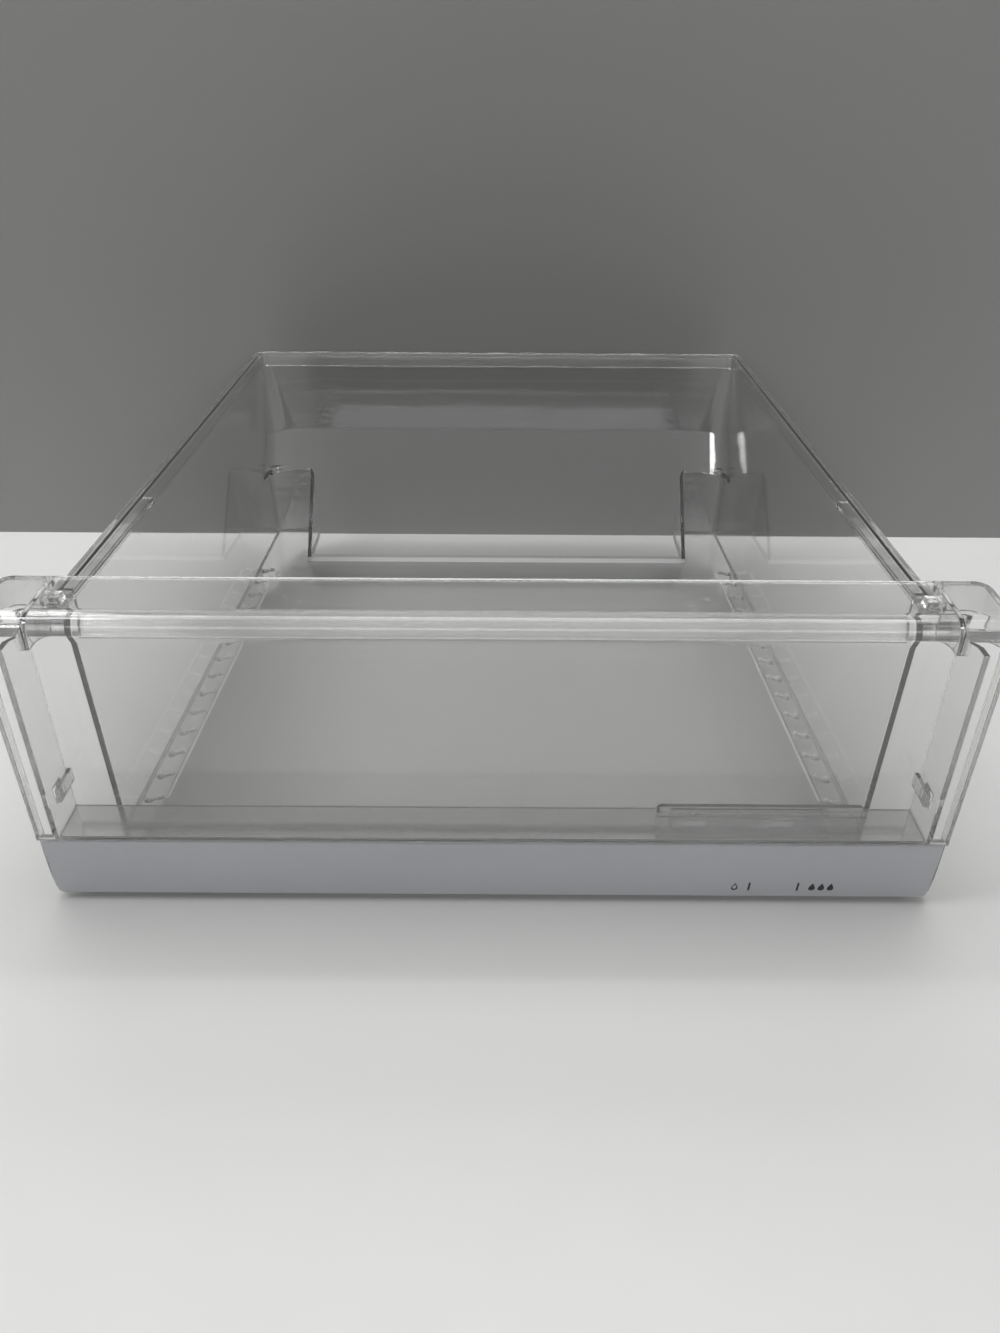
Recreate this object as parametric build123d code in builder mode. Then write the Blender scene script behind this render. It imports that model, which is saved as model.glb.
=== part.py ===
"""Crisper drawer of a refrigerator: clear bin, clear front cover, grey grip strip and a
humidity slider in its guide.

Millimetres, +Z up. The front faces -Y, +X is on the right as one stands before it, and the
origin lies on the table under the middle of the drawer.
"""
import os
from math import asin, degrees, hypot, sqrt

from build123d import *

# Overall size
width = 400.0
depth = 364.0
height = 148.0

# Clearances
seat_gap = 0.3
slide_gap = 0.3
peg_gap = 0.2

# Bin
bin_wall = 2.2
bin_floor = 2.2
bin_front_inset = 24.8
bin_floor_lift = 19.8
bin_side_inset = 26.0
bin_narrowing = 13.5
bin_draft = 0.02
rear_bend_drop = 56.0
rear_floor_run = 66.0
corner_radius_front = 1.2
inner_radius_front = 0.6
corner_radius_rim = 4.0
corner_radius_bend = 20.0
corner_radius_floor = 26.0

# Rim of the bin
rim_overhang = 2.5
rim_thick = 2.0
lip_height = 9.0
lip_thick = 1.8
wing_width = 6.5
wing_length = 100.0
wing_thick = 2.0

# Pockets that square out the rear lower corners
pocket_wide = 27.2
pocket_rear_inset = 24.0
pocket_top_drop = 78.0
pocket_radius = 5.0

# Paired pads along both edges of the floor, each pair joined by a low bridge
pad_count = 14
pad_start = 47.3
pad_end_gap = 15.5
pad_outer_radius = 2.2
pad_inner_radius = 1.7
pad_spread = 5.2
pad_turn = 25.0
pad_wall_gap = 1.0
bridge_wide = 1.8
bridge_high = 0.9
edge_bead_gap = 1.2
edge_bead_wide = 1.2
edge_bead_high = 0.6

# Runner ribs that the bin stands on, the side walls carried on below the floor
runner_thick = 1.8
runner_front = 26.0
runner_end_gap = 9.5

# Front flange of the bin and its snap arms
flange_top_drop = 15.5
flange_corner = 5.0
front_bead_radius = 2.2
front_post = 6.0
arm_thick = 1.8
arm_height = 6.8
arm_reach = 15.5
arm_drop = 93.4
hook_depth = 6.5
hook_out = 1.7
tongue_wide = 4.6
tongue_thick = 2.2
tongue_reach = 4.0
tongue_drop = 8.0

# Front cover
pane_thick = 2.5
ledge_depth = 35.2
ledge_thick = 2.5
nose_radius = 6.5
nose_inner = 8.0
ledge_corner = 6.0
pane_top_inset = 0.6
pane_bottom_inset = 1.4
cover_corner = 2.5
return_depth = 6.5
return_thick = 2.0
side_inset = 8.3
side_thick = 2.3
side_bottom_drop = 141.0
cover_reach = 24.5
trough_drop = 111.0
trough_thick = 2.0
cap_width = 21.5
cap_drop = 14.5
cap_wall = 2.0
cap_radius = 5.0
window_depth = 8.5
window_height = 8.0
window_y = 13.3
latch_wall = 1.3
latch_depth = 6.0

# Grip strip
strip_inset = 3.4
strip_thick = 1.8
strip_top_drop = 112.0
curve_drop = 127.0
curve_radius = 90.0
strip_bottom_drop = 144.5
strip_corner = 2.5
seat_thick = 2.5

# Slider guide
guide_inset = 78.7
guide_top_drop = 108.5
guide_height = 19.0
guide_back = 1.5
guide_flange = 1.3
guide_lip = 1.3
guide_lip_height = 2.2
guide_end = 1.3
guide_corner = 2.5
peg_radius = 1.7
peg_spread = 60.0
peg_drop = 113.4
peg_beyond = 1.2

# Humidity slider
slider_long = 69.5
slider_travel = 22.0
slider_rest = 4.7
slider_thick = 1.7
shelf_drop = 114.6
shelf_thick = 1.6
shelf_front = 8.5
tab_wide = 22.0
tab_thick = 2.0
tab_bottom_drop = 133.0
tab_offset = 4.6
tab_corner = 3.0
shelf_corner = 3.0
tab_rib = 0.7
tab_rib_pitch = 3.0
tab_rib_count = 5
tab_rib_long = 8.0

# Vents that the slider opens and closes
vent_wide = 17.0
vent_high = 6.2
vent_pitch = 40.0
vent_drop = 120.8
vent_radius = 1.5

# Planes that the pieces share, all from the values above
front = -depth / 2
top = height
bin_front = front + bin_front_inset
bin_inner_front = bin_front + bin_wall
rim_top = top - ledge_thick - seat_gap
bend_z = top - rear_bend_drop
floor_top = bin_floor_lift + bin_floor
rear_top = depth / 2 - rim_overhang
rear_floor = rear_top - rear_floor_run
slope_rise = bend_z - bin_floor_lift
slope_run = rear_top - rear_floor
slope_length = hypot(slope_rise, slope_run)
bin_half_front = width / 2 - bin_side_inset
plan_taper = bin_narrowing / (rear_top - bin_front)
side_half = width / 2 - side_inset
pane_half_top = width / 2 - pane_top_inset
pane_half_bottom = width / 2 - pane_bottom_inset
cap_inner_half = width / 2 - cap_width
strip_half = width / 2 - strip_inset
guide_x = width / 2 - guide_inset


def half_width(y, z):
    """Half of the bin's outer width at a depth and a height."""
    return bin_half_front - plan_taper * (y - bin_front) - bin_draft * (rim_top - z)


def tub_section(z, y_front, y_rear, inset, front_radius, rear_radius):
    """Level outline of the tub, a trapezium with rounded corners."""
    half_f = half_width(y_front, z) - inset
    half_r = half_width(y_rear, z) - inset
    with BuildSketch(Plane.XY.offset(z)) as section:
        with BuildLine():
            Polyline((-half_f, y_front), (half_f, y_front), (half_r, y_rear), (-half_r, y_rear), close=True)
        make_face()
        fillet(section.vertices().group_by(Axis.Y)[0], front_radius)
        fillet(section.vertices().group_by(Axis.Y)[-1], rear_radius)
    return section.sketch


def rim_section(z, out):
    """Outline of the rim, which overhangs both sides and the rear but not the front."""
    half_f = half_width(bin_front, rim_top) + out
    half_r = half_width(rear_top, rim_top) + out
    with BuildSketch(Plane.XY.offset(z)) as section:
        with BuildLine():
            Polyline(
                (-half_f, bin_front),
                (half_f, bin_front),
                (half_r, rear_top + out),
                (-half_r, rear_top + out),
                close=True,
            )
        make_face()
        fillet(section.vertices().group_by(Axis.Y)[-1], corner_radius_rim + out)
    return section.sketch


def curve_end(radius):
    """Lower end of an arc that starts upright at the curve's top and shares its centre."""
    turn = (strip_bottom_drop - curve_drop) / curve_radius
    return (front + curve_radius - radius * sqrt(1 - turn * turn), top - curve_drop - radius * turn)


# Inner faces of the sloping rear wall, one wall thickness in from the outer ones
slope_ratio = slope_run / slope_rise
slope_inset = bin_wall * slope_length / slope_rise
inner_rear_top = rear_top - bin_wall
inner_rear_floor = rear_floor + bin_floor * slope_ratio - slope_inset
inner_bend_z = bend_z + (slope_inset - bin_wall) / slope_ratio
pocket_front = rear_floor - corner_radius_floor
pocket_rear = depth / 2 - pocket_rear_inset
pocket_top = top - pocket_top_drop
pocket_x = half_width(pocket_rear, floor_top) - bin_wall - pocket_wide

outer_floor = tub_section(
    bin_floor_lift, bin_front, rear_floor, 0, corner_radius_front, corner_radius_floor
)
outer_bend = tub_section(bend_z, bin_front, rear_top, 0, corner_radius_front, corner_radius_bend)
outer_rim = tub_section(rim_top, bin_front, rear_top, 0, corner_radius_front, corner_radius_rim)
inner_floor = tub_section(
    floor_top,
    bin_inner_front,
    inner_rear_floor,
    bin_wall,
    inner_radius_front,
    corner_radius_floor - bin_wall,
)
inner_bend = tub_section(
    inner_bend_z,
    bin_inner_front,
    inner_rear_top,
    bin_wall,
    inner_radius_front,
    corner_radius_bend - bin_wall,
)
inner_rim = tub_section(
    rim_top, bin_inner_front, inner_rear_top, bin_wall, inner_radius_front, corner_radius_rim - bin_wall
)

# Fixed vents lie where the slider's vents are when it stands at its left end
slider_mid = guide_x - slider_travel / 2 + slider_rest
vent_mid = guide_x - slider_travel / 2
vent_z = top - vent_drop
arm_half = side_half - side_thick - seat_gap
arm_z = top - arm_drop
tongue_x = cap_inner_half - latch_wall - seat_gap - tongue_wide / 2
tongue_z = top - tongue_drop
strip_inner = curve_radius - strip_thick
seat_outer = strip_inner - seat_gap
seat_inner = seat_outer - seat_thick

bead_front = front + pad_start
bead_rear = rear_floor - pad_end_gap
pad_pitch = (bead_rear - bead_front) / (pad_count - 1)
runner_start = front + runner_front
runner_end = rear_floor - runner_end_gap
wing_front = front + ledge_depth + 2 * seat_gap
wing_rear = wing_front + wing_length
flange_top = top - flange_top_drop
post_inner = half_width(bin_front, flange_top) - front_post
pane_bottom = top - strip_top_drop + seat_gap
trough_top = top - trough_drop
trough_mid = trough_top - trough_thick / 2
curve_top = top - curve_drop
curve_centre = (front + curve_radius, curve_top)
curve_turn = degrees(asin((strip_bottom_drop - curve_drop) / curve_radius))
strip_top = top - strip_top_drop
seat_mid = (seat_outer + seat_inner) / 2
hook_rear = front + window_y + window_depth / 2 - seat_gap
cap_hollow_y = front + (pane_thick + ledge_depth - cap_wall) / 2
return_high = strip_top_drop - seat_gap - cap_drop
return_mid = top - cap_drop - return_high / 2
latch_wide = tongue_wide + 2 * seat_gap + 2 * latch_wall
latch_high = tongue_drop + tongue_thick / 2 + seat_gap + latch_wall - ledge_thick
latch_mid = top - ledge_thick - latch_high / 2
guide_long = slider_long + slider_travel + 2 * guide_end
guide_rear = bin_front - seat_gap
guide_deep = guide_back + slide_gap + slider_thick + slide_gap + guide_lip
guide_top = top - guide_top_drop
guide_bottom = guide_top - guide_height
peg_z = top - peg_drop
slider_rear = guide_rear - guide_back - slide_gap
slider_top = guide_top - guide_flange - slide_gap
slider_bottom = guide_bottom + guide_flange + slide_gap
shelf_top = top - shelf_drop
tab_rib_mid = top - tab_bottom_drop + tab_corner + tab_rib_long / 2


def pocket_section(side, z, wall):
    """Level outline of a rear corner pocket, with a wall round it or without."""
    rear = pocket_rear + wall
    with BuildSketch(Plane.XY.offset(z)) as section:
        with BuildLine():
            Polyline(
                (side * (pocket_x - wall), pocket_front),
                (side * (half_width(pocket_front, z) - bin_wall + wall), pocket_front),
                (side * (half_width(rear, z) - bin_wall + wall), rear),
                (side * (pocket_x - wall), rear),
                close=True,
            )
        make_face()
        fillet(section.vertices().group_by(Axis.Y)[-1], pocket_radius - bin_wall + wall)
    return section.sketch


def pad_x(y):
    """Middle of a pair of pads, at a depth."""
    return half_width(y, floor_top) - bin_wall - pad_wall_gap - pad_outer_radius - pad_spread / 2


def bead_x(y):
    """Inner edge of the fine bead beside the pads, at a depth."""
    return pad_x(y) - pad_spread / 2 - pad_inner_radius - edge_bead_gap - edge_bead_wide


def runner_x(y):
    """Inner face of the runner rib, at a depth."""
    return half_width(y, bin_floor_lift) - runner_thick


with BuildPart() as bin_body:
    # Tub with its sloping rear wall
    loft(sections=[outer_floor, outer_bend], ruled=True)
    loft(sections=[outer_bend, outer_rim], ruled=True)

    # Solid blocks that the rear corner pockets are cut into
    for side in (-1, 1):
        pocket_base = pocket_section(side, bin_floor_lift, bin_wall)
        pocket_roof = pocket_section(side, pocket_top + bin_wall, bin_wall)
        loft(sections=[pocket_base, pocket_roof], ruled=True)

    # Rim: a flange with a lip that hangs from its edge
    extrude(rim_section(rim_top, rim_overhang), amount=-lip_height)
    with BuildSketch(Plane.XY.offset(rim_top - rim_thick)):
        add(rim_section(rim_top - rim_thick, rim_overhang - lip_thick))
        add(outer_rim.moved(Location((0, 0, -rim_thick))), mode=Mode.SUBTRACT)
    extrude(amount=rim_thick - lip_height, mode=Mode.SUBTRACT)

    # Front flange behind the cover
    with BuildSketch(Plane.XZ.offset(-bin_front)) as flange_outline:
        with Locations((0, (bin_floor_lift + flange_top) / 2)):
            Rectangle(2 * side_half, flange_top - bin_floor_lift)
        fillet(flange_outline.vertices().group_by(Axis.Y)[0], flange_corner)
    extrude(amount=-bin_wall)

    for side in (-1, 1):
        # Wing beside the front part of the rim
        with BuildSketch(Plane.XY.offset(rim_top - lip_height)):
            with BuildLine():
                Polyline(
                    (side * half_width(wing_front, rim_top), wing_front),
                    (side * (half_width(wing_front, rim_top) + rim_overhang + wing_width), wing_front),
                    (side * (half_width(wing_rear, rim_top) + rim_overhang + wing_width), wing_rear),
                    (side * half_width(wing_rear, rim_top), wing_rear),
                    close=True,
                )
            make_face()
        extrude(amount=wing_thick)

        # Runner rib under the floor
        with BuildSketch():
            with BuildLine():
                Polyline(
                    (side * runner_x(runner_start), runner_start),
                    (side * (runner_x(runner_start) + runner_thick), runner_start),
                    (side * (runner_x(runner_end) + runner_thick), runner_end),
                    (side * runner_x(runner_end), runner_end),
                    close=True,
                )
            make_face()
        extrude(amount=bin_floor_lift + bin_floor / 2)

        # Snap arm, with the hook that stands in the cover's window
        with Locations((side * (arm_half - arm_thick / 2), bin_front - arm_reach / 2, arm_z)):
            Box(arm_thick, arm_reach, arm_height)
        with BuildSketch(Plane.XY.offset(arm_z - arm_height / 2)):
            with BuildLine():
                Polyline(
                    (side * (arm_half - arm_thick / 2), hook_rear - hook_depth),
                    (side * arm_half, hook_rear - hook_depth),
                    (side * (arm_half + hook_out), hook_rear - hook_depth / 3),
                    (side * (arm_half + hook_out), hook_rear),
                    (side * (arm_half - arm_thick / 2), hook_rear),
                    close=True,
                )
            make_face()
        extrude(amount=arm_height)

        # Tongue that stands in the cover's latch box
        with Locations((side * tongue_x, bin_front - tongue_reach / 2 + bin_wall / 2, tongue_z)):
            Box(tongue_wide, tongue_reach + bin_wall, tongue_thick)

    # Inside of the tub
    loft(sections=[inner_floor, inner_bend], ruled=True, mode=Mode.SUBTRACT)
    loft(sections=[inner_bend, inner_rim], ruled=True, mode=Mode.SUBTRACT)
    for side in (-1, 1):
        pocket_base = pocket_section(side, floor_top, 0)
        pocket_roof = pocket_section(side, pocket_top, 0)
        loft(sections=[pocket_base, pocket_roof], ruled=True, mode=Mode.SUBTRACT)

    # Between its corner posts the front wall ends lower, in a thick rounded bead
    with Locations((0, bin_front, (flange_top + top) / 2)):
        Box(2 * post_inner, 4 * bin_wall, top - flange_top, mode=Mode.SUBTRACT)
    with BuildSketch(Plane.YZ):
        with Locations((bin_front + bin_wall / 2, flange_top - front_bead_radius / 2)):
            Circle(front_bead_radius)
    extrude(amount=post_inner, both=True)

    # Pads and the fine bead beside them on the floor
    for side in (-1, 1):
        for pad in range(pad_count):
            pad_y = bead_front + pad * pad_pitch
            pair = Location((side * pad_x(pad_y), pad_y, floor_top), (0, 0, -side * pad_turn))
            with BuildSketch(Plane(pair)):
                SlotCenterToCenter(pad_spread, bridge_wide)
            extrude(amount=bridge_high)
            with Locations(pair):
                with Locations((side * pad_spread / 2, 0, 0)):
                    Sphere(pad_outer_radius, arc_size1=0, align=(Align.CENTER, Align.CENTER, Align.MIN))
                with Locations((-side * pad_spread / 2, 0, 0)):
                    Sphere(pad_inner_radius, arc_size1=0, align=(Align.CENTER, Align.CENTER, Align.MIN))
        with BuildSketch(Plane.XY.offset(floor_top)):
            with BuildLine():
                Polyline(
                    (side * bead_x(bead_front), bead_front),
                    (side * (bead_x(bead_front) + edge_bead_wide), bead_front),
                    (side * (bead_x(bead_rear) + edge_bead_wide), bead_rear),
                    (side * bead_x(bead_rear), bead_rear),
                    close=True,
                )
            make_face()
        extrude(amount=edge_bead_high)

    # Vents and peg holes in the front wall
    with BuildSketch(Plane.XZ.offset(-bin_front)):
        with Locations((vent_mid, vent_z)):
            with GridLocations(vent_pitch, 1, 2, 1):
                RectangleRounded(vent_wide, vent_high, vent_radius)
        with Locations((guide_x, peg_z)):
            with GridLocations(peg_spread, 1, 2, 1):
                Circle(peg_radius + peg_gap)
    extrude(amount=-bin_wall, mode=Mode.SUBTRACT)

with BuildPart() as front_cover:
    # Ledge, rounded nose, pane, wall above the grip and curved seat of the strip, in one section
    with BuildSketch(Plane.YZ):
        with BuildLine():
            Line((front + ledge_depth, top), (front + nose_radius, top))
            CenterArc((front + nose_radius, top - nose_radius), nose_radius, 90, 90)
            Polyline(
                (front, top - nose_radius),
                (front, pane_bottom),
                (front + curve_radius - seat_outer, pane_bottom),
                (front + curve_radius - seat_outer, curve_top),
            )
            CenterArc(curve_centre, seat_outer, 180, curve_turn)
            Line(curve_end(seat_outer), curve_end(seat_inner))
            CenterArc(curve_centre, seat_inner, 180, curve_turn)
            Polyline(
                (front + curve_radius - seat_inner, curve_top),
                (front + curve_radius - seat_inner, trough_top - trough_thick),
                (front + cover_reach, trough_top - trough_thick),
                (front + cover_reach, trough_top),
                (front + pane_thick, trough_top),
                (front + pane_thick, top - ledge_thick - nose_inner),
            )
            CenterArc(
                (front + pane_thick + nose_inner, top - ledge_thick - nose_inner), nose_inner, 90, 90
            )
            Polyline(
                (front + pane_thick + nose_inner, top - ledge_thick),
                (front + ledge_depth, top - ledge_thick),
                (front + ledge_depth, top),
            )
        make_face()
    extrude(amount=width / 2, both=True)

    # The wall above the grip ends at the side walls and leaves room for the guide
    for side in (-1, 1):
        with Locations((side * (side_half + width / 4), front + cover_reach, trough_mid)):
            Box(width / 2, 2 * (cover_reach - curve_radius + seat_inner), trough_thick, mode=Mode.SUBTRACT)
    with Locations((guide_x, front + cover_reach, trough_mid)):
        Box(guide_long + 2 * seat_gap, 2 * (guide_deep + seat_gap), trough_thick, mode=Mode.SUBTRACT)

    for side in (-1, 1):
        # Cap over the end of the shelf rail, open below
        with BuildSketch(Plane.XY.offset(top - ledge_thick)) as cap_outline:
            with Locations((side * (cap_inner_half + width / 2) / 2, front + ledge_depth / 2)):
                Rectangle(cap_width, ledge_depth)
            with Locations((side * (cap_inner_half + width / 2) / 2, cap_hollow_y)):
                RectangleRounded(
                    cap_width - 2 * cap_wall,
                    ledge_depth - pane_thick - cap_wall,
                    cap_radius - cap_wall,
                    mode=Mode.SUBTRACT,
                )
        extrude(amount=ledge_thick - cap_drop)

        # Side wall behind the pane
        with BuildSketch(Plane.YZ.offset(side * (side_half - side_thick / 2))):
            with BuildLine():
                Polyline(
                    (front + pane_thick / 2, top - cap_drop),
                    (front + cover_reach, top - cap_drop),
                    (front + cover_reach, top - side_bottom_drop),
                    (curve_end(seat_mid)[0], top - side_bottom_drop),
                    (front + curve_radius - seat_mid, curve_top),
                    (front + curve_radius - seat_mid, pane_bottom),
                    (front + pane_thick / 2, pane_bottom),
                    close=True,
                )
            make_face()
        extrude(amount=side_thick / 2, both=True)
        with Locations((side * (side_half - side_thick / 2), front + window_y, arm_z)):
            Box(2 * side_thick, window_depth, window_height, mode=Mode.SUBTRACT)

        # Return along the pane's outer edge
        with Locations((side * (pane_half_top - return_thick / 2), front + return_depth / 2, return_mid)):
            Box(return_thick, return_depth, return_high)

        # Latch box under the ledge, open at the back
        with Locations((side * tongue_x, front + cover_reach - latch_depth / 2, latch_mid)):
            Box(latch_wide, latch_depth, latch_high)
        with Locations((side * tongue_x, front + cover_reach, tongue_z)):
            Box(
                latch_wide - 2 * latch_wall,
                2 * (latch_depth - latch_wall),
                tongue_thick + 2 * seat_gap,
                mode=Mode.SUBTRACT,
            )

    # Outline as seen from the front
    with BuildSketch(Plane.XZ.offset(-front)) as cover_outline:
        with BuildLine():
            Polyline(
                (-width / 2, top),
                (width / 2, top),
                (width / 2, top - cap_drop),
                (pane_half_top, top - cap_drop),
                (pane_half_bottom, top - strip_bottom_drop),
                (-pane_half_bottom, top - strip_bottom_drop),
                (-pane_half_top, top - cap_drop),
                (-width / 2, top - cap_drop),
                close=True,
            )
        make_face()
        fillet(cover_outline.vertices().group_by(Axis.Y)[0], cover_corner)
    extrude(amount=-ledge_depth, mode=Mode.INTERSECT)

    # Outline as seen from above
    with BuildSketch() as ledge_outline:
        with Locations((0, front + ledge_depth / 2)):
            Rectangle(width, ledge_depth)
        fillet(ledge_outline.vertices().group_by(Axis.Y)[-1], ledge_corner)
    extrude(amount=top, mode=Mode.INTERSECT)

with BuildPart() as grip_strip:
    with BuildSketch(Plane.YZ):
        with BuildLine():
            Line((front, strip_top), (front, curve_top))
            CenterArc(curve_centre, curve_radius, 180, curve_turn)
            Line(curve_end(curve_radius), curve_end(strip_inner))
            CenterArc(curve_centre, strip_inner, 180, curve_turn)
            Polyline((front + strip_thick, curve_top), (front + strip_thick, strip_top), (front, strip_top))
        make_face()
    extrude(amount=strip_half, both=True)
    with BuildSketch(Plane.XZ.offset(-front)) as strip_outline:
        with Locations((0, (strip_top + top - strip_bottom_drop) / 2)):
            Rectangle(2 * strip_half, strip_bottom_drop - strip_top_drop)
        fillet(strip_outline.vertices().group_by(Axis.Y)[0], strip_corner)
    extrude(amount=-curve_radius, mode=Mode.INTERSECT)

with BuildPart() as slider_guide:
    # Back plate with the two flanges that hold the slider
    with BuildSketch(Plane.YZ.offset(guide_x)):
        with BuildLine():
            Polyline(
                (guide_rear, guide_top),
                (guide_rear - guide_deep, guide_top),
                (guide_rear - guide_deep, guide_top - guide_flange - guide_lip_height),
                (guide_rear - guide_deep + guide_lip, guide_top - guide_flange - guide_lip_height),
                (guide_rear - guide_deep + guide_lip, guide_top - guide_flange),
                (guide_rear - guide_back, guide_top - guide_flange),
                (guide_rear - guide_back, guide_bottom + guide_flange),
                (guide_rear - guide_deep + guide_lip, guide_bottom + guide_flange),
                (guide_rear - guide_deep + guide_lip, guide_bottom + guide_flange + guide_lip_height),
                (guide_rear - guide_deep, guide_bottom + guide_flange + guide_lip_height),
                (guide_rear - guide_deep, guide_bottom),
                (guide_rear, guide_bottom),
                close=True,
            )
        make_face()
    extrude(amount=guide_long / 2, both=True)

    # End walls, the slider's stops
    for side in (-1, 1):
        with Locations(
            (
                guide_x + side * (guide_long - guide_end) / 2,
                guide_rear - guide_deep / 2,
                (guide_top + guide_bottom) / 2,
            )
        ):
            Box(guide_end, guide_deep, guide_height)
    ends = slider_guide.edges().filter_by(Axis.Y).group_by(Axis.X)
    fillet(ends[0] + ends[-1], guide_corner)

    with BuildSketch(Plane.XZ.offset(-guide_rear)):
        with Locations((vent_mid, vent_z)):
            with GridLocations(vent_pitch, 1, 2, 1):
                RectangleRounded(vent_wide, vent_high, vent_radius)
    extrude(amount=guide_back, mode=Mode.SUBTRACT)

    # Pegs that hold the guide on the bin
    with BuildSketch(Plane.XZ.offset(-guide_rear)):
        with Locations((guide_x, peg_z)):
            with GridLocations(peg_spread, 1, 2, 1):
                Circle(peg_radius)
    extrude(amount=-(seat_gap + bin_wall + peg_beyond))

with BuildPart() as humidity_slider:
    # Upright plate with its vents
    with BuildSketch(Plane.XZ.offset(-slider_rear)):
        with Locations((slider_mid, (slider_top + slider_bottom) / 2)):
            Rectangle(slider_long, slider_top - slider_bottom)
        with Locations((slider_mid, vent_z)):
            with GridLocations(vent_pitch, 1, 2, 1):
                RectangleRounded(vent_wide, vent_high, vent_radius, mode=Mode.SUBTRACT)
    extrude(amount=slider_thick)

    # Shelf that passes between the lips, and the finger tab at its front
    with BuildSketch(Plane.XY.offset(shelf_top)) as shelf_outline:
        with Locations((slider_mid, (front + shelf_front + slider_rear) / 2)):
            Rectangle(slider_long, slider_rear - front - shelf_front)
        fillet(shelf_outline.vertices().group_by(Axis.Y)[0], shelf_corner)
    extrude(amount=-shelf_thick)
    with BuildSketch(Plane.XZ.offset(-(front + shelf_front))) as tab_face:
        with Locations((slider_mid + tab_offset, (shelf_top + top - tab_bottom_drop) / 2)):
            Rectangle(tab_wide, tab_bottom_drop - shelf_drop)
        fillet(tab_face.vertices().group_by(Axis.Y)[0], tab_corner)
    extrude(amount=-tab_thick)
    with Locations((slider_mid + tab_offset, front + shelf_front + tab_thick, tab_rib_mid)):
        with GridLocations(tab_rib_pitch, 1, tab_rib_count, 1):
            Box(tab_rib, 2 * tab_rib, tab_rib_long)

os.makedirs("parts", exist_ok=True)
pieces = (
    ("bin", bin_body),
    ("front_cover", front_cover),
    ("grip_strip", grip_strip),
    ("slider_guide", slider_guide),
    ("humidity_slider", humidity_slider),
)
for name, piece in pieces:
    piece.part.label = name
    export_step(piece.part, f"parts/{name}.step")
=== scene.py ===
"""Finishes for a refrigerator crisper drawer: clear moulded plastic, a satin grey grip strip
with its printed signs, and a plain studio with a table, a wall and soft lamps.

Metres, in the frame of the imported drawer: +X right, -Y front, +Z up, origin on the table.
"""
from math import pi, radians

import bpy
import numpy as np
from bpy.props import FloatProperty, FloatVectorProperty, IntProperty, PointerProperty
from mathutils import Matrix, Vector


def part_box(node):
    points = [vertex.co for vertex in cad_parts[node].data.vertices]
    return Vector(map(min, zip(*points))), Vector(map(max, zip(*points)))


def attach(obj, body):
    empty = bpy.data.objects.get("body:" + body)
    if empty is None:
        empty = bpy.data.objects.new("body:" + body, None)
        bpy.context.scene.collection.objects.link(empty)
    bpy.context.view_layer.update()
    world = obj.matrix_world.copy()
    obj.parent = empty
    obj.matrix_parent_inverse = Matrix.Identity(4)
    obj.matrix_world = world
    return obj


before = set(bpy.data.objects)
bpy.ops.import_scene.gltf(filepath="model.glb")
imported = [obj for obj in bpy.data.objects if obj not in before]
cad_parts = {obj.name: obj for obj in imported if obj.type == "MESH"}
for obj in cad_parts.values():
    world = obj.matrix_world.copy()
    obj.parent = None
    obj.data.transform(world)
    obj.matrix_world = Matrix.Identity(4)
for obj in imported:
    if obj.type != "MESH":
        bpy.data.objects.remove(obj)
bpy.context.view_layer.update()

bl_info = {
    "name": "Crisper Drawer Finishes",
    "version": (1, 0, 0),
    "blender": (4, 5, 0),
    "location": "3D View > Sidebar > Crisper",
    "description": "Dresses a crisper drawer in clear plastic with a grey grip strip and lights it",
    "category": "3D View",
}

STRIP_LOW, STRIP_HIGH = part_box("grip_strip")
COVER_LOW, COVER_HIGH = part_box("front_cover")

# The strip's face is upright down to CURVE_TOP and then follows an arc that leans back
CURVE_TOP = COVER_HIGH.z - 0.127
CURVE_RADIUS = 0.090

# Heights above the table: the bin's floor, the band that its pads fill, and the band of the wall
# above the grip
FLOOR = 0.022
PAD_LEVELS = (FLOOR + 0.0002, FLOOR + 0.0024)
GRIP_WALL_LEVELS = (COVER_HIGH.z - 0.1132, COVER_HIGH.z - 0.1109)

# Frost of the pads and of the wall above the grip, as shares of the full frost
PAD_FROST = 1.0
GRIP_WALL_FROST = 0.45

# Index of refraction of the opaque plastic and the ink
OPAQUE_IOR = 1.5

# Half the width of a tick, and the distance from a tick to the middle of the drop beside it
TICK_HALF_WIDTH = 0.00045
TICK_TO_DROP = 0.0065

# How far the ink stands out of the strip's face, and how far its back is sunk into it
INK_THICK = 0.00004
INK_SUNK = 0.00001

# Point at which all lamps but the one behind are aimed, and the camera's place
MIDDLE = (0.0, 0.0, 0.05)
CAMERA_PLACE = (0.0025, -0.5136, 0.3436)

# Half the side of the table, and half the width of the wall
REACH = 4.0


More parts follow.
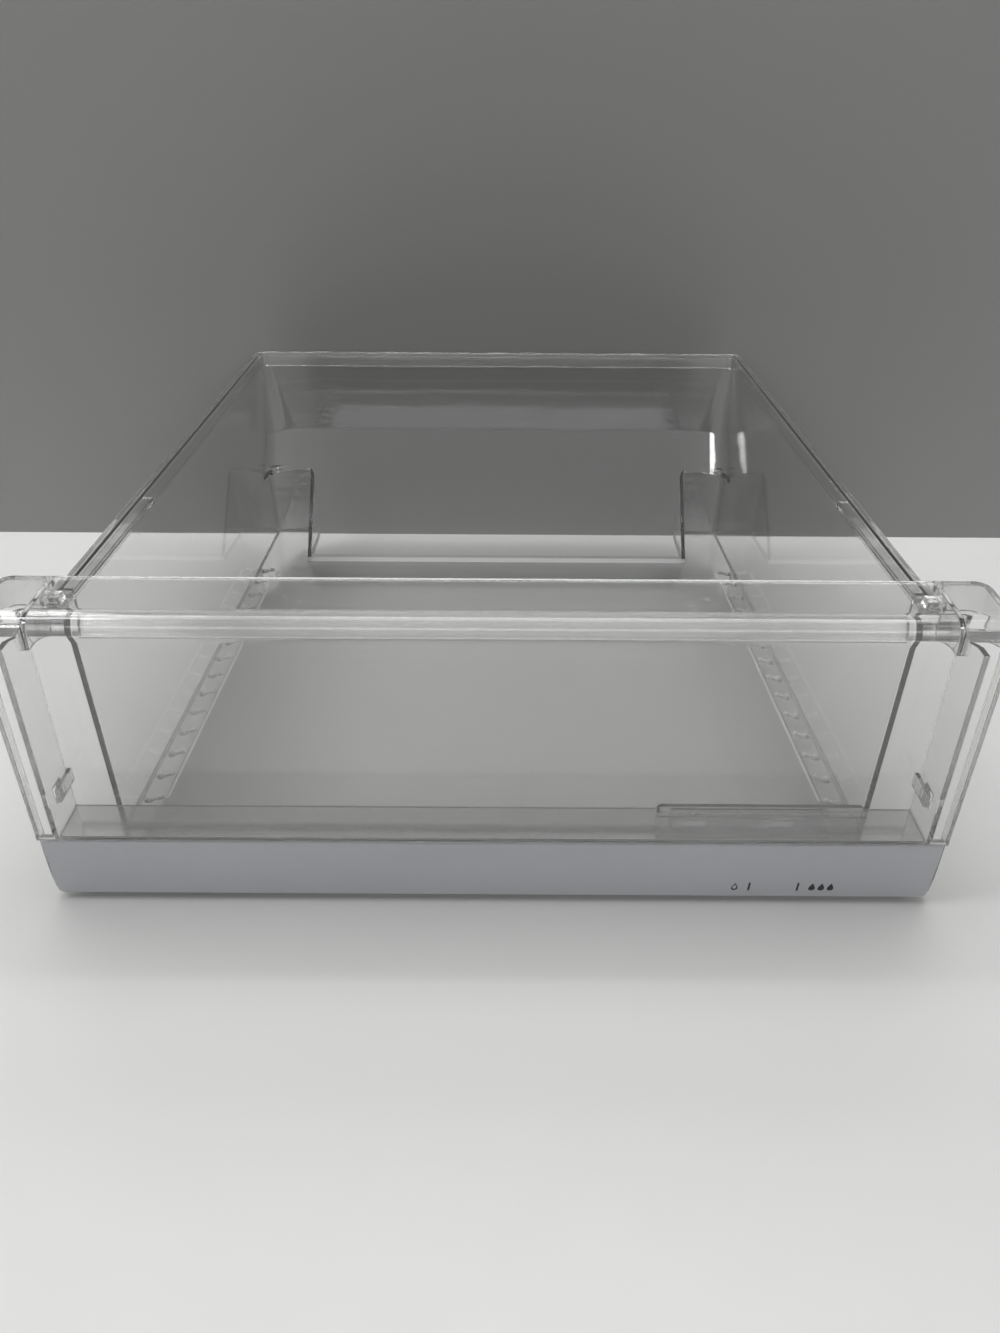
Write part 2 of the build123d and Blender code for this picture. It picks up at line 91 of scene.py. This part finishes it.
class ClearPlasticSettings(bpy.types.PropertyGroup):
    """Clear plastic of the bin, the front cover and the slider guide"""

    tint: FloatVectorProperty(
        name="Tint",
        description="Colour that light takes on where it passes through the plastic",
        subtype="COLOR",
        size=3,
        min=0.0,
        max=1.0,
        default=(0.970, 0.973, 0.968),
    )
    smoky: FloatVectorProperty(
        name="Slider tint",
        description="Colour of the slightly darker plastic of the humidity slider",
        subtype="COLOR",
        size=3,
        min=0.0,
        max=1.0,
        default=(0.955, 0.965, 0.960),
    )
    ior: FloatProperty(
        name="Refraction",
        description="Index of refraction of the clear plastic",
        default=1.57,
        min=1.3,
        max=1.7,
    )
    haze: FloatProperty(
        name="Haze",
        description="Share of the light that the plastic scatters instead of passing on",
        default=0.035,
        min=0.0,
        max=1.0,
    )
    waviness: FloatProperty(
        name="Waviness",
        description="Height of the faint waves that moulding leaves in the walls",
        unit="LENGTH",
        default=0.00012,
        min=0.0,
        max=0.002,
    )
    polish: FloatProperty(
        name="Roughness",
        description="Roughness of the plastic where it is clean",
        default=0.015,
        min=0.0,
        max=1.0,
    )
    edge: FloatProperty(
        name="Edge rounding",
        description="Radius of the slight rounding that moulding leaves on the edges",
        unit="LENGTH",
        default=0.0005,
        min=0.0,
        max=0.002,
    )
    frost: FloatProperty(
        name="Frost",
        description="Roughness of the matt pads on the floor and of the matt wall above the grip",
        default=0.30,
        min=0.0,
        max=1.0,
    )
    milk: FloatProperty(
        name="Milk",
        description="Share of the light that the matt pads and the matt wall above the grip scatter as well",
        default=0.40,
        min=0.0,
        max=1.0,
    )
    rim_light: FloatProperty(
        name="Edge light",
        description="Share of the light that the rounded edges scatter as well",
        default=0.55,
        min=0.0,
        max=1.0,
    )
    scuffs: FloatProperty(
        name="Scuffs",
        description="Roughness that wear and wiping add in fine streaks",
        default=0.10,
        min=0.0,
        max=1.0,
    )


class GripStripSettings(bpy.types.PropertyGroup):
    """Satin grey plastic of the grip strip"""

    grey: FloatVectorProperty(
        name="Grey",
        description="Main colour of the grip strip",
        subtype="COLOR",
        size=3,
        min=0.0,
        max=1.0,
        default=(0.455, 0.465, 0.490),
    )
    grain: FloatProperty(
        name="Grain",
        description="Size of the fine grain in the satin surface",
        unit="LENGTH",
        default=0.0006,
        min=0.0001,
        max=0.01,
    )
    satin: FloatProperty(
        name="Roughness",
        description="Mean roughness of the satin surface",
        default=0.45,
        min=0.0,
        max=1.0,
    )


class PrintSettings(bpy.types.PropertyGroup):
    """Ticks and drop signs printed on the grip strip"""

    ink: FloatVectorProperty(
        name="Ink",
        description="Colour of the printed signs",
        subtype="COLOR",
        size=3,
        min=0.0,
        max=1.0,
        default=(0.012, 0.012, 0.014),
    )
    tick_left: FloatProperty(
        name="Left tick",
        description="Distance of the left tick from the middle of the drawer",
        unit="LENGTH",
        default=0.1155,
    )
    tick_right: FloatProperty(
        name="Right tick",
        description="Distance of the right tick from the middle of the drawer",
        unit="LENGTH",
        default=0.1374,
    )
    height: FloatProperty(
        name="Height",
        description="Height of the signs",
        unit="LENGTH",
        default=0.0050,
        min=0.001,
        max=0.02,
    )
    level: FloatProperty(
        name="Level",
        description="Height of the middle of the signs above the table",
        unit="LENGTH",
        default=0.0104,
    )
    drops: IntProperty(
        name="Drops",
        description="Number of drops in the right-hand sign, for moist air",
        default=3,
        min=1,
        max=5,
    )


class StudioSettings(bpy.types.PropertyGroup):
    """Table, wall, lamps and camera"""

    table: FloatVectorProperty(
        name="Table",
        description="Colour of the pale table top",
        subtype="COLOR",
        size=3,
        min=0.0,
        max=1.0,
        default=(0.78, 0.78, 0.77),
    )
    wall: FloatVectorProperty(
        name="Wall",
        description="Colour of the painted wall behind the drawer",
        subtype="COLOR",
        size=3,
        min=0.0,
        max=1.0,
        default=(0.36, 0.36, 0.355),
    )
    wall_distance: FloatProperty(
        name="Wall distance",
        description="Distance of the wall from the middle of the drawer",
        unit="LENGTH",
        default=0.2017,
    )
    wall_height: FloatProperty(
        name="Wall height",
        description="Height of the wall. Lamps behind it still light the drawer, but don't show in it",
        unit="LENGTH",
        default=1.10,
    )
    behind: FloatProperty(
        name="Lamp behind",
        description="Power of the wide soft lamp behind the wall, which casts the shadow before the drawer",
        subtype="POWER",
        default=8.0,
        min=0.0,
    )
    overhead: FloatProperty(
        name="Overhead lamp",
        description="Power of the large soft lamp above the drawer",
        subtype="POWER",
        default=12.5,
        min=0.0,
    )
    left: FloatProperty(
        name="Left lamp",
        description="Power of the smaller lamp high on the left, which shades the inside of the left wall",
        subtype="POWER",
        default=5.0,
        min=0.0,
    )
    line: FloatProperty(
        name="Line lamp",
        description="Power of the long narrow lamp that gives the edges their glints",
        subtype="POWER",
        default=2.0,
        min=0.0,
    )
    front: FloatProperty(
        name="Front lamp",
        description="Power of the low soft lamp in front, which lights the grip strip and the wall",
        subtype="POWER",
        default=9.0,
        min=0.0,
    )
    surround: FloatProperty(
        name="Surround",
        description="Strength of the even light from all round",
        default=0.13,
        min=0.0,
    )
    backdrop: FloatProperty(
        name="Backdrop",
        description="Brightness of the surround as the camera sees it and as the clear plastic shows it",
        default=0.6,
        min=0.0,
        max=1.0,
    )
    focal_length: FloatProperty(
        name="Focal length",
        description="Focal length of the camera, in millimetres",
        default=27.583,
        min=10.0,
        max=200.0,
    )
    tilt: FloatProperty(
        name="Tilt",
        description="Angle at which the camera looks down",
        subtype="ANGLE",
        default=radians(33.0),
    )


def new_material(name):
    """An empty node material, with its tree and its output node."""
    material = bpy.data.materials.new(name)
    material.use_nodes = True
    tree = material.node_tree
    tree.nodes.clear()
    return material, tree, tree.nodes.new("ShaderNodeOutputMaterial")


def add_node(tree, kind, inputs=None, **settings):
    """A node of that kind, its settings set, each input given a value or linked to a socket."""
    made = tree.nodes.new(kind)
    for key, value in settings.items():
        setattr(made, key, value)
    for key, value in (inputs or {}).items():
        if isinstance(value, bpy.types.NodeSocket):
            tree.links.new(value, made.inputs[key])
        else:
            made.inputs[key].default_value = value
    return made


def place(tree, scale=(1.0, 1.0, 1.0), turn=(0.0, 0.0, 0.0)):
    """Object coordinates, stretched and turned."""
    where = add_node(tree, "ShaderNodeTexCoord")
    return add_node(
        tree,
        "ShaderNodeMapping",
        {"Vector": where.outputs["Object"], "Scale": scale, "Rotation": turn},
    ).outputs["Vector"]


def noise(tree, scale, detail=3.0, vector=None, roughness=0.5):
    """Values of a noise pattern of that scale."""
    inputs = {"Scale": scale, "Detail": detail, "Roughness": roughness}
    inputs["Vector"] = place(tree) if vector is None else vector
    return add_node(tree, "ShaderNodeTexNoise", inputs).outputs["Fac"]


def spread(tree, value, low, high, to_low, to_high):
    """A value stretched from one range to another and held inside it."""
    return add_node(
        tree,
        "ShaderNodeMapRange",
        {"Value": value, "From Min": low, "From Max": high, "To Min": to_low, "To Max": to_high},
    ).outputs["Result"]


def blend(tree, factor, first, second):
    """A mix of two colours."""
    mixed = add_node(tree, "ShaderNodeMix", data_type="RGBA")
    for socket, value in zip((mixed.inputs[0], mixed.inputs[6], mixed.inputs[7]), (factor, first, second)):
        if isinstance(value, bpy.types.NodeSocket):
            tree.links.new(value, socket)
        else:
            socket.default_value = (*value, 1.0) if isinstance(value, (tuple, list)) else value
    return mixed.outputs[2]


def combine(tree, operation, first, second):
    """Two values added, multiplied or compared."""
    return add_node(tree, "ShaderNodeMath", {0: first, 1: second}, operation=operation).outputs[0]


def swing(colour, low, high):
    """Two shades of a colour, as multiples of it."""
    return tuple(c * low for c in colour), tuple(c * high for c in colour)


def switch_shaders(tree, factor, first, second, output):
    """The first shader where the factor is 0 and the second where it is 1."""
    mixed = add_node(tree, "ShaderNodeMixShader", {0: factor, 1: first.outputs[0], 2: second.outputs[0]})
    tree.links.new(mixed.outputs[0], output.inputs["Surface"])


def level_band(tree, low, high, share):
    """The share between two heights and 0 outside them."""
    level = add_node(tree, "ShaderNodeSeparateXYZ", {0: place(tree)}).outputs["Z"]
    above = spread(tree, level, low - 0.0001, low, 0.0, share)
    below = spread(tree, level, high, high + 0.0001, 1.0, 0.0)
    return combine(tree, "MULTIPLY", above, below)


def bumped(tree, height, distance, normal, strength=1.0):
    """The normal that is left where a height pattern is laid over another normal."""
    inputs = {"Strength": strength, "Distance": distance, "Height": height}
    if normal is not None:
        inputs["Normal"] = normal
    return add_node(tree, "ShaderNodeBump", inputs).outputs["Normal"]


def clear_plastic(name, tint, settings, wave_scale, calm=1.0, frosted=None):
    """Clear injection-moulded plastic: faint waves, wiping streaks and a slightly uneven tint. Its
    edges are a little rounded and scatter some light. Lamps shine through it, so its shadow stays
    pale. calm below 1 flattens the waves, and frosted gives two heights and how matt the surface
    is between them, up to 1."""
    material, tree, output = new_material(name)
    uneven = noise(tree, 14.0, 2.0)
    colour = blend(tree, spread(tree, uneven, 0.3, 0.7, 0.0, 1.0), *swing(tint, 1.0, 0.985))
    streaks = noise(tree, 60.0, 4.0, place(tree, (1.0, 5.0, 1.4), (0.2, 0.1, 0.5)), 0.6)
    worn = spread(tree, streaks, 0.56, 0.80, settings.polish, settings.polish + settings.scuffs)
    bevel = add_node(tree, "ShaderNodeBevel", {"Radius": settings.edge}, samples=4)
    rounded = bevel.outputs["Normal"]
    face = add_node(tree, "ShaderNodeNewGeometry").outputs["Normal"]
    level = add_node(tree, "ShaderNodeVectorMath", {0: rounded, 1: face}, operation="DOT_PRODUCT")
    passing = 1.0 - settings.haze
    clear = spread(tree, level.outputs["Value"], 0.70, 0.97, passing - settings.rim_light, passing)
    if frosted:
        band = level_band(tree, *frosted)
        worn = combine(tree, "ADD", worn, spread(tree, band, 0.0, 1.0, 0.0, settings.frost))
        clear = combine(tree, "MULTIPLY", clear, spread(tree, band, 0.0, 1.0, 1.0, 1.0 - settings.milk))
    height = settings.waviness * calm
    swell = bumped(tree, noise(tree, wave_scale, 1.5), height, rounded)
    ripple = bumped(tree, noise(tree, wave_scale * 9.0, 2.0), height * 0.05, swell)
    shell = add_node(
        tree,
        "ShaderNodeBsdfPrincipled",
        {
            "Base Color": colour,
            "Roughness": worn,
            "IOR": settings.ior,
            "Transmission Weight": clear,
            "Normal": ripple,
        },
    )
    mirrored = add_node(tree, "ShaderNodeFresnel", {"IOR": settings.ior})
    passed = blend(tree, mirrored.outputs[0], *swing(tint, 0.94, 0.0))
    lit_through = add_node(tree, "ShaderNodeBsdfTransparent", {"Color": passed})
    path = add_node(tree, "ShaderNodeLightPath")
    switch_shaders(tree, path.outputs["Is Shadow Ray"], shell, lit_through, output)
    return material


def satin_grey(name, settings):
    """Satin moulded plastic: a fine grain in bump and roughness, and soft clouds in the colour."""
    material, tree, output = new_material(name)
    clouds = noise(tree, 22.0, 3.0, place(tree, (0.3, 1.0, 1.0)))
    grain = noise(tree, 1.0 / settings.grain, 2.0)
    colour = blend(tree, spread(tree, clouds, 0.35, 0.65, 0.0, 1.0), *swing(settings.grey, 0.97, 1.02))
    rough = spread(tree, grain, 0.3, 0.7, settings.satin - 0.05, settings.satin + 0.06)
    bump = bumped(tree, grain, 0.00004, None, 0.35)
    shell = add_node(
        tree,
        "ShaderNodeBsdfPrincipled",
        {"Base Color": colour, "Roughness": rough, "IOR": OPAQUE_IOR, "Normal": bump},
    )
    tree.links.new(shell.outputs[0], output.inputs["Surface"])
    return material


def print_ink(name, settings):
    """Pad-printed ink: nearly black, with a faint mottle in its colour and sheen."""
    material, tree, output = new_material(name)
    mottle = noise(tree, 1500.0, 3.0)
    colour = blend(tree, mottle, tuple(settings.ink), tuple(c * 1.6 + 0.004 for c in settings.ink))
    rough = spread(tree, mottle, 0.3, 0.7, 0.36, 0.52)
    shell = add_node(
        tree, "ShaderNodeBsdfPrincipled", {"Base Color": colour, "Roughness": rough, "IOR": OPAQUE_IOR}
    )
    tree.links.new(shell.outputs[0], output.inputs["Surface"])
    return material


def table_top(name, colour):
    """Painted table top: a little uneven in colour, matt."""
    material, tree, output = new_material(name)
    shade = blend(tree, noise(tree, 3.0, 3.0), *swing(colour, 0.985, 1.01))
    rough = spread(tree, noise(tree, 40.0, 3.0), 0.3, 0.7, 0.45, 0.6)
    shell = add_node(tree, "ShaderNodeBsdfPrincipled", {"Base Color": shade, "Roughness": rough, "IOR": 1.4})
    tree.links.new(shell.outputs[0], output.inputs["Surface"])
    return material


def painted_wall(name, colour):
    """Painted wall, matt. It isn't seen from behind, so the drawer shows from all sides."""
    material, tree, output = new_material(name)
    shade = blend(tree, noise(tree, 2.0, 4.0), *swing(colour, 0.97, 1.03))
    paint = add_node(tree, "ShaderNodeBsdfDiffuse", {"Color": shade, "Roughness": 0.6})
    gone = add_node(tree, "ShaderNodeBsdfTransparent")
    side = add_node(tree, "ShaderNodeNewGeometry")
    switch_shaders(tree, side.outputs["Backfacing"], paint, gone, output)
    return material


def grid_faces(rows, columns, closed):
    """Quads of a grid of points, row after row. closed joins the last column to the first."""
    row, column = np.meshgrid(
        np.arange(rows - 1), np.arange(columns if closed else columns - 1), indexing="ij"
    )
    here, below = row * columns, (row + 1) * columns
    after = (column + 1) % columns
    quads = np.stack([here + column, here + after, below + after, below + column], axis=-1)
    return quads.reshape(-1, 4)


def mesh_object(name, points, faces, material, smooth=True):
    """A mesh object at the origin from an array of points and one of faces."""
    mesh = bpy.data.meshes.new(name)
    mesh.vertices.add(len(points))
    mesh.vertices.foreach_set("co", np.ascontiguousarray(points, np.float32).ravel())
    mesh.loops.add(faces.size)
    mesh.loops.foreach_set("vertex_index", np.ascontiguousarray(faces, np.int32).ravel())
    mesh.polygons.add(len(faces))
    mesh.polygons.foreach_set("loop_start", np.arange(0, faces.size, faces.shape[1], dtype=np.int32))
    mesh.update(calc_edges=True)
    mesh.polygons.foreach_set("use_smooth", np.full(len(faces), smooth))
    mesh.materials.append(material)
    made = bpy.data.objects.new(name, mesh)
    bpy.context.scene.collection.objects.link(made)
    return made


def strip_face(z):
    """Depth of the strip's face at a height: upright above CURVE_TOP, and below it
    the arc y = front + R - sqrt(R^2 - (CURVE_TOP - z)^2)."""
    below = np.clip(CURVE_TOP - z, 0.0, None)
    return STRIP_LOW.y + CURVE_RADIUS - np.sqrt(CURVE_RADIUS ** 2 - below ** 2)


def bar_outline(turns, half_width, half_height):
    """Superellipse x = a sgn(cos t)|cos t|^(1/4), z = b sgn(sin t)|sin t|^(1/4), a bar with soft
    corners."""
    c, s = np.cos(turns), np.sin(turns)
    return half_width * np.sign(c) * np.abs(c) ** 0.25, half_height * np.sign(s) * np.abs(s) ** 0.25


def drop_outline(turns, half_width, half_height):
    """Drop x = 1.3 a sin t sin(t/2)^1.4, z = b cos t: a point on top and a round belly."""
    across = 1.3 * half_width * np.sin(turns) * np.abs(np.sin(turns / 2)) ** 1.4
    return across, half_height * np.cos(turns)


def printed_shape(outline, x, z, half_width, half_height, hollow=0.0, count=96):
    """Plate of ink on the strip's face. The outline is scaled about its middle from hollow to 1
    for the front, and the same rings lie on the strip for the back, so the plate is closed."""
    turns = np.linspace(0.0, 2 * pi, count, endpoint=False)
    ox, oz = outline(turns, half_width, half_height)
    inner = max(hollow, 0.02)
    scale = np.array([inner, inner, (inner + 1) / 2, 1.0, 1.0, (inner + 1) / 2, inner])
    proud = np.array([0.0, 1.0, 1.0, 1.0, 0.0, 0.0, 0.0]) * INK_THICK
    px = x + scale[:, None] * ox[None, :]
    pz = z + scale[:, None] * oz[None, :]
    py = strip_face(pz) - proud[:, None] + INK_SUNK
    points = np.stack([px, py, pz], axis=-1).reshape(-1, 3)
    return points, grid_faces(len(scale), count, True)


def joined(shapes):
    """One array of points and one of faces from several."""
    start = np.cumsum([0] + [len(p) for p, f in shapes[:-1]])
    points = np.concatenate([p for p, f in shapes])
    return points, np.concatenate([f + s for (p, f), s in zip(shapes, start)])


def dress(node, material):
    """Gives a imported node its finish."""
    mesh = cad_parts[node].data
    mesh.materials.clear()
    mesh.materials.append(material)


def flat_quad(name, corners, material):
    """A single flat face with four corners."""
    return mesh_object(name, np.array(corners), np.array([[0, 1, 2, 3]]), material, False)


def soft_lamp(name, place_at, aim, size, power):
    """A rectangular soft lamp that faces a point."""
    lamp = bpy.data.lights.new(name, "AREA")
    lamp.shape = "RECTANGLE"
    lamp.size, lamp.size_y = size
    lamp.energy = power
    made = bpy.data.objects.new(name, lamp)
    made.location = place_at
    made.rotation_euler = (Vector(aim) - Vector(place_at)).to_track_quat("-Z", "Y").to_euler()
    bpy.context.scene.collection.objects.link(made)


class CRISPER_OT_clear_bin(bpy.types.Operator):
    """Clear plastic for the bin"""

    bl_idname = "crisper.clear_bin"
    bl_label = "Clear bin"

    def execute(self, context):
        clear = context.scene.crisper_clear
        pads = (*PAD_LEVELS, PAD_FROST)
        dress("bin", clear_plastic("clear_bin", clear.tint, clear, 11.0, frosted=pads))
        return {"FINISHED"}


class CRISPER_OT_front_cover(bpy.types.Operator):
    """Clear plastic for the front cover"""

    bl_idname = "crisper.front_cover"
    bl_label = "Front cover"

    def execute(self, context):
        clear = context.scene.crisper_clear
        grip_wall = (*GRIP_WALL_LEVELS, GRIP_WALL_FROST)
        dress("front_cover", clear_plastic("clear_cover", clear.tint, clear, 9.0, frosted=grip_wall))
        return {"FINISHED"}


class CRISPER_OT_humidity_vent(bpy.types.Operator):
    """Clear guide and faintly smoky slider of the humidity vent"""

    bl_idname = "crisper.humidity_vent"
    bl_label = "Humidity vent"

    def execute(self, context):
        clear = context.scene.crisper_clear
        dress("slider_guide", clear_plastic("clear_guide", clear.tint, clear, 30.0, 0.15))
        dress("humidity_slider", clear_plastic("clear_slider", clear.smoky, clear, 30.0, 0.15))
        return {"FINISHED"}


class CRISPER_OT_grip_strip(bpy.types.Operator):
    """Satin grey plastic for the grip strip"""

    bl_idname = "crisper.grip_strip"
    bl_label = "Grip strip"

    def execute(self, context):
        dress("grip_strip", satin_grey("grey_strip", context.scene.crisper_strip))
        return {"FINISHED"}


class CRISPER_OT_signs(bpy.types.Operator):
    """Two ticks, one drop for dry air and several for moist air, printed on the grip strip"""

    bl_idname = "crisper.signs"
    bl_label = "Printed signs"

    def execute(self, context):
        marks = context.scene.crisper_print
        high = marks.height / 2
        wide = high * 0.62
        level = marks.level
        dry = marks.tick_left - TICK_TO_DROP
        moist = [marks.tick_right + TICK_TO_DROP + wide * 2.7 * index for index in range(marks.drops)]
        shapes = [
            printed_shape(bar_outline, marks.tick_left, level, TICK_HALF_WIDTH, high * 1.1),
            printed_shape(bar_outline, marks.tick_right, level, TICK_HALF_WIDTH, high * 1.1),
            printed_shape(drop_outline, dry, level, wide, high, 0.62),
            *(printed_shape(drop_outline, x, level, wide, high) for x in moist),
        ]
        signs = mesh_object("printed_signs", *joined(shapes), print_ink("print_ink", marks))
        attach(signs, "drawer")
        return {"FINISHED"}


class CRISPER_OT_studio(bpy.types.Operator):
    """Pale table, grey wall, soft lamps and the camera"""

    bl_idname = "crisper.studio"
    bl_label = "Studio"

    def execute(self, context):
        studio = context.scene.crisper_studio
        scene = context.scene
        scene.view_settings.view_transform = "Standard"

        y, top = studio.wall_distance, studio.wall_height
        table = flat_quad(
            "table",
            [[-REACH, -REACH, 0], [REACH, -REACH, 0], [REACH, REACH, 0], [-REACH, REACH, 0]],
            table_top("table_top", studio.table),
        )
        wall = flat_quad(
            "wall",
            [[-REACH, y, 0], [REACH, y, 0], [REACH, y, top], [-REACH, y, top]],
            painted_wall("painted_wall", studio.wall),
        )
        wall.visible_shadow = False

        soft_lamp("lamp_behind", (0.0, 1.1, 1.5), (0.0, -0.2, 0.0), (2.4, 0.6), studio.behind)
        soft_lamp("lamp_overhead", (0.0, 0.1, 1.6), MIDDLE, (1.6, 0.8), studio.overhead)
        soft_lamp("lamp_line", (0.0, 0.14, 1.2), MIDDLE, (2.2, 0.04), studio.line)
        soft_lamp("lamp_left", (-0.9, -0.35, 1.5), MIDDLE, (0.4, 0.4), studio.left)
        soft_lamp("lamp_front", (0.0, -1.9, 0.9), MIDDLE, (2.0, 0.5), studio.front)

        world = bpy.data.worlds.new("surround")
        world.use_nodes = True
        tree = world.node_tree
        back = tree.nodes["Background"]
        back.inputs["Color"].default_value = (1.0, 1.0, 1.0, 1.0)
        path = add_node(tree, "ShaderNodeLightPath").outputs
        mirrored = combine(tree, "MAXIMUM", path["Is Glossy Ray"], path["Is Transmission Ray"])
        seen = combine(tree, "MAXIMUM", path["Is Camera Ray"], mirrored)
        strength = spread(tree, seen, 0.0, 1.0, studio.surround, studio.backdrop)
        tree.links.new(strength, back.inputs["Strength"])
        scene.world = world

        camera = bpy.data.objects.new("camera", bpy.data.cameras.new("camera"))
        camera.data.sensor_width = 36.0
        camera.data.lens = studio.focal_length
        camera.data.clip_start, camera.data.clip_end = 0.01, 50.0
        camera.matrix_world = (
            Matrix.Translation(CAMERA_PLACE)
            @ Matrix.Rotation(radians(-0.04), 4, "Z")
            @ Matrix.Rotation(pi / 2 - studio.tilt, 4, "X")
            @ Matrix.Rotation(radians(0.36), 4, "Z")
        )
        scene.collection.objects.link(camera)
        scene.camera = camera

        scene.cycles.caustics_refractive = False
        scene.cycles.caustics_reflective = False
        scene.cycles.max_bounces = 24
        scene.cycles.transmission_bounces = 24
        scene.cycles.glossy_bounces = 8
        scene.cycles.transparent_max_bounces = 24
        return {"FINISHED"}


class CRISPER_PT_drawer(bpy.types.Panel):
    """Sizes, colours and steps of the crisper drawer's finishes"""

    bl_idname = "CRISPER_PT_drawer"
    bl_label = "Crisper drawer"
    bl_space_type = "VIEW_3D"
    bl_region_type = "UI"
    bl_category = "Crisper"

    def draw(self, context):
        scene = context.scene
        for group in (scene.crisper_clear, scene.crisper_strip, scene.crisper_print, scene.crisper_studio):
            box = self.layout.box()
            for key in group.bl_rna.properties.keys():
                if key not in ("rna_type", "name"):
                    box.prop(group, key)
        for operator in STEPS:
            self.layout.operator(operator.bl_idname)


SETTINGS = {
    "crisper_clear": ClearPlasticSettings,
    "crisper_strip": GripStripSettings,
    "crisper_print": PrintSettings,
    "crisper_studio": StudioSettings,
}
STEPS = (
    CRISPER_OT_clear_bin,
    CRISPER_OT_front_cover,
    CRISPER_OT_humidity_vent,
    CRISPER_OT_grip_strip,
    CRISPER_OT_signs,
    CRISPER_OT_studio,
)


def register():
    for kind in (*SETTINGS.values(), *STEPS, CRISPER_PT_drawer):
        bpy.utils.register_class(kind)
    for name, kind in SETTINGS.items():
        setattr(bpy.types.Scene, name, PointerProperty(type=kind))


def unregister():
    for name in SETTINGS:
        delattr(bpy.types.Scene, name)
    for kind in (CRISPER_PT_drawer, *reversed(STEPS), *SETTINGS.values()):
        bpy.utils.unregister_class(kind)


def main():
    """Runs every step in order."""
    register()
    bpy.ops.crisper.clear_bin()
    bpy.ops.crisper.front_cover()
    bpy.ops.crisper.humidity_vent()
    bpy.ops.crisper.grip_strip()
    bpy.ops.crisper.signs()
    bpy.ops.crisper.studio()


if __name__ == "__main__":
    main()
